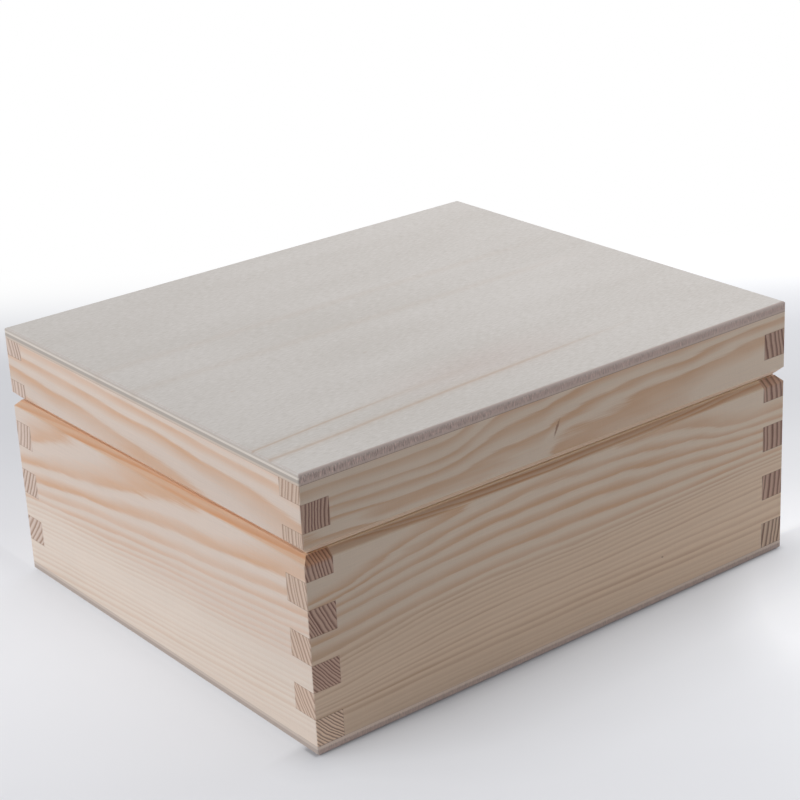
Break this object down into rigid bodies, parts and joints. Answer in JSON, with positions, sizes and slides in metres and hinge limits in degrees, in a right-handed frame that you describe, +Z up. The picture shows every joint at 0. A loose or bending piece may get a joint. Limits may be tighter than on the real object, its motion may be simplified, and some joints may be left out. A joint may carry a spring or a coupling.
{
  "type": "wooden compartment box",
  "caption": "Pine box with comb-jointed corners, plywood top and bottom, a hinged lid sawn from the same sides, and a half-lapped divider grid.",
  "frame": {"origin": "middle of the underside of the closed box", "axes": "+X to the right along the front, +Y from front to back, +Z up"},
  "size_m": [0.222, 0.189, 0.1015],
  "materials": {
    "pine": "sanded, unfinished",
    "plywood": "sanded three-ply, unfinished",
    "hinge_brass": "satin",
    "screw_brass": "satin"
  },
  "bodies": {
    "base": {"base_front_board": "pine", "base_back_board": "pine", "base_left_board": "pine", "base_right_board": "pine", "bottom_panel": "plywood", "long_divider": "plywood", "cross_divider_1": "plywood", "cross_divider_2": "plywood", "left_hinge_base_leaf": "hinge_brass", "right_hinge_base_leaf": "hinge_brass", "left_hinge_pin": "hinge_brass", "right_hinge_pin": "hinge_brass", "base_hinge_screws": "screw_brass"},
    "lid": {"lid_front_board": "pine", "lid_back_board": "pine", "lid_left_board": "pine", "lid_right_board": "pine", "top_panel": "plywood", "left_hinge_lid_leaf": "hinge_brass", "right_hinge_lid_leaf": "hinge_brass", "lid_hinge_screws": "screw_brass"}
  },
  "joints": [
    {"name": "lid_hinge", "type": "hinge", "parent": "base", "child": "lid", "pos_m": [0, 0.0923, 0.0722], "axis": [-1, 0, 0], "range_deg": [0, 108]}
  ]
}
